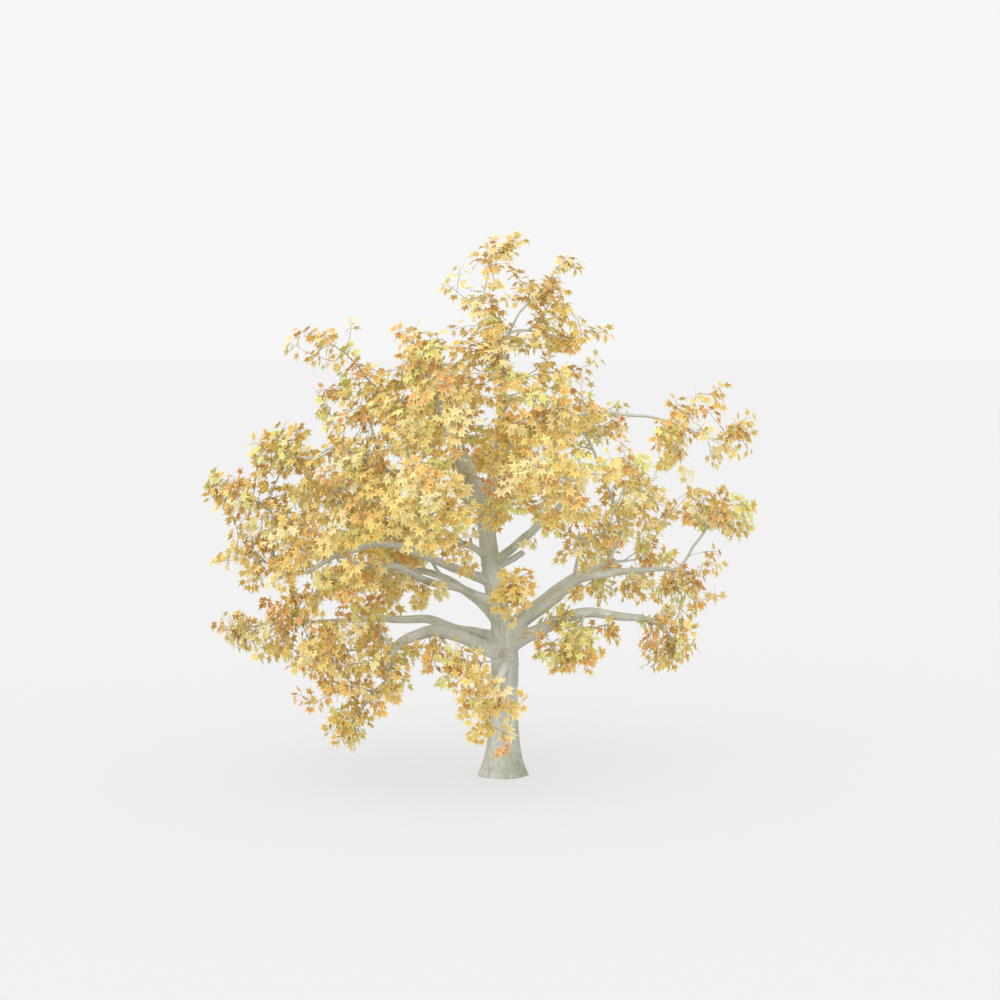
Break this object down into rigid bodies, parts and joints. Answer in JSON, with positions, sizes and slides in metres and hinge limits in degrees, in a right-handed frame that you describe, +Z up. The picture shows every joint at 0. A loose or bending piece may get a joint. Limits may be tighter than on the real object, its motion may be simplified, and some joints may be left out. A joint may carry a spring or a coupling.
{
  "type": "maple tree",
  "caption": "Broad open-grown maple tree in autumn leaf: flared, leaning trunk, arching limbs and an uneven crown of separate leaf masses.",
  "frame": {"origin": "middle of the flat cut under the trunk, at ground level", "axes": "+Z up the trunk; +X and -X along the crown's broad sides; -Y the crown's front, +Y its back"},
  "size_m": [10.2368, 8.0649, 9.9762],
  "materials": {
    "bark": "pale grey-green maple bark, matt, finely furrowed lengthwise",
    "leaves": "thin autumn maple leaves, satin, golden yellow to orange-brown with some green-yellow"
  },
  "bodies": {
    "root": {"trunk": "bark", "bough_left_low_front": "bark", "bough_left_low": "bark", "bough_right_low": "bark", "bough_right_middle": "bark", "bough_front_low": "bark", "bough_back_left": "bark", "bough_back_right": "bark", "bough_left_middle": "bark", "bough_left_arched": "bark", "bough_front_left": "bark", "bough_front_right": "bark", "bough_back": "bark", "bough_left_upper": "bark", "leader_left": "bark", "bough_right_upper": "bark", "branch_right_middle": "bark", "sawn_stub_right": "bark", "leaves_low_left_tip": "leaves", "leaves_low_left_front": "leaves", "leaves_low_left_hanging": "leaves", "leaves_low_left_drop": "leaves", "leaves_left_outlier": "leaves", "leaves_under_left": "leaves", "leaves_front_skirt": "leaves", "leaves_front_clump": "leaves", "leaves_under_right": "leaves", "leaves_right_drooping": "leaves", "leaves_back_low_left": "leaves", "leaves_back_low_right": "leaves", "leaves_left_tip": "leaves", "leaves_far_left": "leaves", "leaves_left_lower_tip": "leaves", "leaves_left_front": "leaves", "leaves_left_back": "leaves", "leaves_left_inner": "leaves", "leaves_front_left": "leaves", "leaves_front_right": "leaves", "leaves_right_inner": "leaves", "leaves_right_middle": "leaves", "leaves_right_tip": "leaves", "leaves_right_lower_tip": "leaves", "leaves_right_back": "leaves", "leaves_back": "leaves", "leaves_left_shoulder": "leaves", "leaves_left_high": "leaves", "leaves_front_left_high": "leaves", "leaves_upper_left": "leaves", "leaves_right_high": "leaves", "leaves_right_inner_high": "leaves", "leaves_back_right_high": "leaves", "leaves_back_left_high": "leaves", "leaves_upper_left_dome": "leaves", "leaves_column": "leaves", "leaves_right_top": "leaves", "leaves_top_left": "leaves", "leaves_top_right": "leaves", "leaves_top_tuft": "leaves", "leaves_top_tuft_right": "leaves", "leaves_upper_left_outer": "leaves"}
  },
  "joints": []
}
